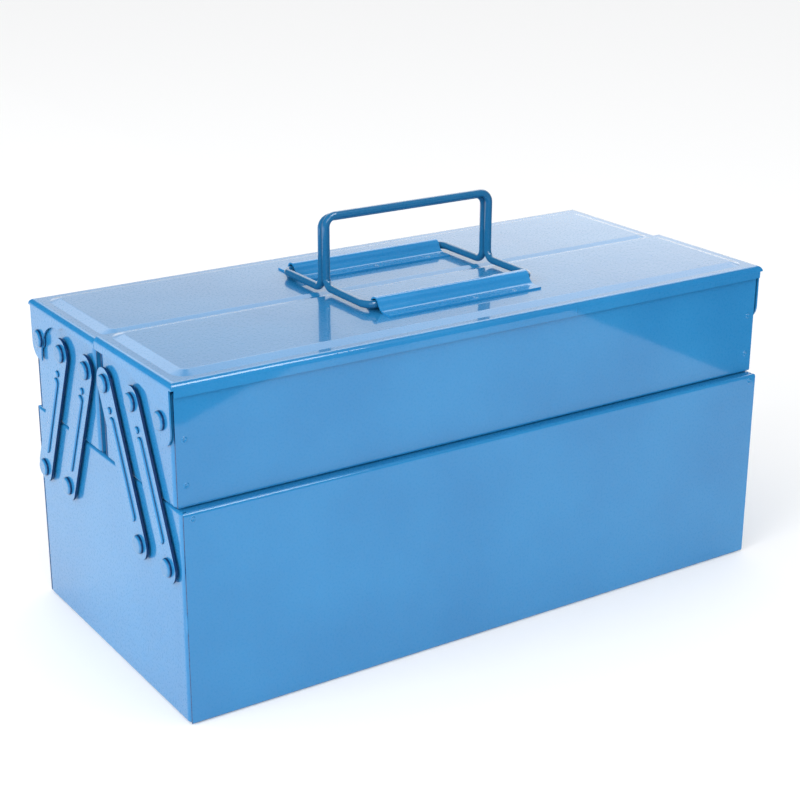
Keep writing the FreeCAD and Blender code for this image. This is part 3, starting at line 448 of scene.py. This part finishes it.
class TOOLBOX_OT_add_weld_marks(bpy.types.Operator):
    """Adds the spot weld dimples on the walls and the handle brackets"""

    bl_idname = "toolbox.add_weld_marks"
    bl_label = "Add the weld marks"

    def execute(self, context):
        marks = context.scene.toolbox_marks
        material = bpy.data.materials["sheet_enamel"]
        rows = {"front_tray": TRAY_WELD_HEIGHTS, "rear_tray": TRAY_WELD_HEIGHTS,
                "base": BASE_WELD_HEIGHTS}
        for body, heights in rows.items():
            low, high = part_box(body + "_wrap")
            for side, normal in (("front", -1), ("rear", 1)):
                if body != "base" and not body.startswith(side):
                    continue
                wall = low.y if normal < 0 else high.y
                points = [(end * WELD_END, wall, height) for end in (-1, 1) for height in heights]
                name = f"{body}_weld_marks" if body != "base" else f"base_{side}_weld_marks"
                weld_row(name, body, points, (0, normal, 0), material, marks)
        for side, places in BRACKET_WELDS.items():
            low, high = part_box(side + "_handle_bracket")
            level = low.z + marks.bracket_gauge
            edges = (low.y + marks.flange_inset, high.y - marks.flange_inset)
            points = [(x, y, level) for x in places for y in edges]
            name = f"{side}_bracket_weld_marks"
            weld_row(name, side + "_lid", points, (0, 0, 1), material, marks)
        return {"FINISHED"}


class TOOLBOX_OT_add_paint_marks(bpy.types.Operator):
    """Adds the small run and drops of enamel on the front lid, and paint on the base's seam"""

    bl_idname = "toolbox.add_paint_marks"
    bl_label = "Add the paint marks"

    def execute(self, context):
        marks = context.scene.toolbox_marks
        material = bpy.data.materials["sheet_enamel"]
        low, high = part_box("front_lid")
        mesh = bmesh.new()
        run = facing((PAINT_RUN[0], low.y, PAINT_RUN[1]), (0, -1, 0))
        spun_form(mesh, run, drop_profile(marks.run_length / 2, RUN_RISE), stretch=RUN_STRETCH)
        piece("front_lid_paint_run", mesh, "front_lid", material)
        mesh = bmesh.new()
        for x, share in BEND_DROPS:
            spot = facing((x, low.y + BEND_INSET, high.z - BEND_DEPTH), (0, -1, 1))
            spun_form(mesh, spot, drop_profile(marks.drop_radius * share, BEND_DROP_RISE))
        for x, y in PANEL_DROPS:
            spot = facing((x, y, high.z), (0, 0, 1))
            spun_form(mesh, spot, drop_profile(marks.drop_radius, PANEL_DROP_RISE))
        piece("front_lid_drops", mesh, "front_lid", material)
        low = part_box("base_wrap")[0]
        mesh = bmesh.new()
        half, length = marks.bridge_radius, marks.bridge_length / 2
        turns = [math.pi * step / SEAM_STEPS for step in range(1, SEAM_STEPS)]
        rounded = [(half * math.sin(turn), -length * math.cos(turn)) for turn in turns]
        corner = (low.x + SEAM_INSETS[0], low.y + SEAM_INSETS[1], SEAM_PAINT_HEIGHT)
        spun_form(mesh, Matrix.Translation(corner), rounded)
        piece("base_seam_paint", mesh, "base", material)
        return {"FINISHED"}


class TOOLBOX_OT_build_stage(bpy.types.Operator):
    """Lays the pale floor and sets the lights and the camera"""

    bl_idname = "toolbox.build_stage"
    bl_label = "Build the stage"

    def execute(self, context):
        stage = context.scene.toolbox_stage
        lay_floor(stage)
        lay_dark_room(stage)
        light_room(context.scene, stage)
        left = add_soft_box("left_soft_box", stage.left_power)
        left.visible_glossy = False
        add_soft_box("front_soft_box", stage.front_power)
        strip = add_soft_box("edge_strip", stage.strip_power)
        strip.visible_diffuse = False
        place_camera(context.scene, stage)
        return {"FINISHED"}


def lay_floor(stage):
    """A flat pale floor that glows a little, as a lit photo table does."""
    mesh = bmesh.new()
    half = stage.floor_width / 2
    corners = ((-half, -half), (half, -half), (half, half), (-half, half))
    mesh.faces.new([mesh.verts.new((x, y, -FLOOR_DROP)) for x, y in corners])
    data = bpy.data.meshes.new("floor")
    mesh.to_mesh(data)
    mesh.free()
    material = bpy.data.materials.new("floor")
    material.use_nodes = True
    shader = material.node_tree.nodes["Principled BSDF"]
    shader.inputs["Base Color"].default_value = (*stage.floor_colour, 1)
    shader.inputs["Roughness"].default_value = 0.9
    shader.inputs["Specular IOR Level"].default_value = 0.1
    shader.inputs["Emission Color"].default_value = (1, 1, 1, 1)
    shader.inputs["Emission Strength"].default_value = stage.floor_glow
    data.materials.append(material)
    floor = bpy.data.objects.new("floor", data)
    bpy.context.scene.collection.objects.link(floor)


def lay_dark_room(stage):
    """The dim room past the bright table, which only the glossy enamel mirrors."""
    reach = stage.floor_width / 2
    front, right = stage.table_front, stage.table_right
    deep, bend = front - stage.table_slant, right / 3
    mesh = bmesh.new()
    before = ((-reach, -reach), (0, -reach), (0, front), (-reach, front))
    slanted = ((0, -reach), (right, -reach), (right, deep), (bend, deep), (0, front))
    beside = ((right, -reach), (reach, -reach), (reach, reach), (right, reach))
    for corners in (before, slanted, beside):
        mesh.faces.new([mesh.verts.new((x, y, 0)) for x, y in corners])
    data = bpy.data.meshes.new("dim_room")
    mesh.to_mesh(data)
    mesh.free()
    material = bpy.data.materials.new("dim_room")
    material.use_nodes = True
    tree = material.node_tree
    tree.nodes.clear()
    glow = add_node(tree, "ShaderNodeEmission",
                    {"Color": (1, 1, 1, 1), "Strength": stage.room_dimness})
    add_node(tree, "ShaderNodeOutputMaterial", {"Surface": glow.outputs["Emission"]})
    data.materials.append(material)
    room = bpy.data.objects.new("dim_room", data)
    bpy.context.scene.collection.objects.link(room)
    room.visible_camera = False
    room.visible_diffuse = False
    room.visible_shadow = False
    room.visible_transmission = False


def light_room(scene, stage):
    """Soft light from all sides, with a bright wall behind that the glossy lids mirror."""
    world = bpy.data.worlds.new("studio")
    scene.world = world
    world.use_nodes = True
    tree = world.node_tree
    tree.nodes.clear()
    way = add_node(tree, "ShaderNodeTexCoord").outputs["Generated"]
    split = add_node(tree, "ShaderNodeSeparateXYZ", {"Vector": way})
    # The wall stands behind the box. It is brightest at the right and above the lids' own view
    # of it, and ends at the left, so that the bends over the left end stay deep blue.
    behind = remap(tree, split.outputs["Y"], *WALL_START)
    brighter_right = remap(tree, split.outputs["X"], *BRIGHTER_RIGHT)
    rise = remap(tree, split.outputs["Z"], *WALL_RISE)
    haze = remap(tree, split.outputs["Z"], *LOW_HAZE)
    top = remap(tree, split.outputs["Z"], *WALL_TOP)
    wall_end = remap(tree, split.outputs["X"], *WALL_LEFT_END)
    wall = calculate(tree, "MULTIPLY", calculate(tree, "MULTIPLY", rise, top), haze)
    wall = calculate(tree, "MULTIPLY", calculate(tree, "MULTIPLY", wall, brighter_right), wall_end)
    mirrored = calculate(tree, "MULTIPLY", wall, behind)
    path = add_node(tree, "ShaderNodeLightPath")
    is_glossy = path.outputs["Is Glossy Ray"]
    is_camera = path.outputs["Is Camera Ray"]
    strength = calculate(tree, "MULTIPLY", is_glossy, mirrored)
    seen = calculate(tree, "MULTIPLY", is_camera, stage.backdrop_light)
    strength = calculate(tree, "ADD", strength, seen)
    lit = calculate(tree, "ADD", is_glossy, is_camera)
    other = calculate(tree, "SUBTRACT", 1, calculate(tree, "MINIMUM", lit, 1))
    soft = calculate(tree, "MULTIPLY", other, stage.room_light)
    strength = calculate(tree, "ADD", strength, soft)
    sky = add_node(tree, "ShaderNodeBackground", {"Color": (1, 1, 1, 1), "Strength": strength})
    add_node(tree, "ShaderNodeOutputWorld", {"Surface": sky.outputs["Background"]})
    scene.view_settings.view_transform = "Standard"


def add_soft_box(name, power):
    """A rectangular soft light that faces the box."""
    place, size = SOFT_BOXES[name]
    light = bpy.data.lights.new(name, "AREA")
    light.shape = "RECTANGLE"
    light.size, light.size_y = size
    light.energy = power
    made = bpy.data.objects.new(name, light)
    made.location = place
    made.rotation_euler = (Vector(LIGHT_AIM) - Vector(place)).to_track_quat("-Z", "Y").to_euler()
    made.visible_camera = False
    bpy.context.scene.collection.objects.link(made)
    return made


def place_camera(scene, stage):
    """The photo's own view."""
    camera = bpy.data.cameras.new("photo_camera")
    camera.sensor_width = 36
    camera.lens = stage.camera_lens
    camera.clip_start = 0.01
    made = bpy.data.objects.new("photo_camera", camera)
    made.location = stage.camera_place
    made.rotation_euler = stage.camera_turn
    scene.collection.objects.link(made)
    scene.camera = made


STEPS = ("finish_sheets", "finish_links", "finish_handles", "add_weld_marks", "add_paint_marks",
         "build_stage")


class TOOLBOX_PT_panel(bpy.types.Panel):
    """Lists the tool box's steps and settings"""

    bl_label = "Tool box"
    bl_idname = "TOOLBOX_PT_panel"
    bl_space_type = "VIEW_3D"
    bl_region_type = "UI"
    bl_category = "Tool box"

    def draw(self, context):
        for step in STEPS:
            self.layout.operator("toolbox." + step)
        for group in ("toolbox_enamel", "toolbox_marks", "toolbox_stage"):
            settings = getattr(context.scene, group)
            column = self.layout.column(heading=group)
            for name in settings.__annotations__:
                column.prop(settings, name)


CLASSES = (EnamelLook, MarkSizes, StageSettings, TOOLBOX_OT_finish_sheets,
           TOOLBOX_OT_finish_links, TOOLBOX_OT_finish_handles, TOOLBOX_OT_add_weld_marks,
           TOOLBOX_OT_add_paint_marks, TOOLBOX_OT_build_stage, TOOLBOX_PT_panel)


def register():
    for entry in CLASSES:
        bpy.utils.register_class(entry)
    bpy.types.Scene.toolbox_enamel = bpy.props.PointerProperty(type=EnamelLook)
    bpy.types.Scene.toolbox_marks = bpy.props.PointerProperty(type=MarkSizes)
    bpy.types.Scene.toolbox_stage = bpy.props.PointerProperty(type=StageSettings)


def unregister():
    del bpy.types.Scene.toolbox_stage
    del bpy.types.Scene.toolbox_marks
    del bpy.types.Scene.toolbox_enamel
    for entry in reversed(CLASSES):
        bpy.utils.unregister_class(entry)


def main():
    """Dresses the CAD frame step by step."""
    register()
    for step in STEPS:
        getattr(bpy.ops.toolbox, step)()


if __name__ == "__main__":
    main()
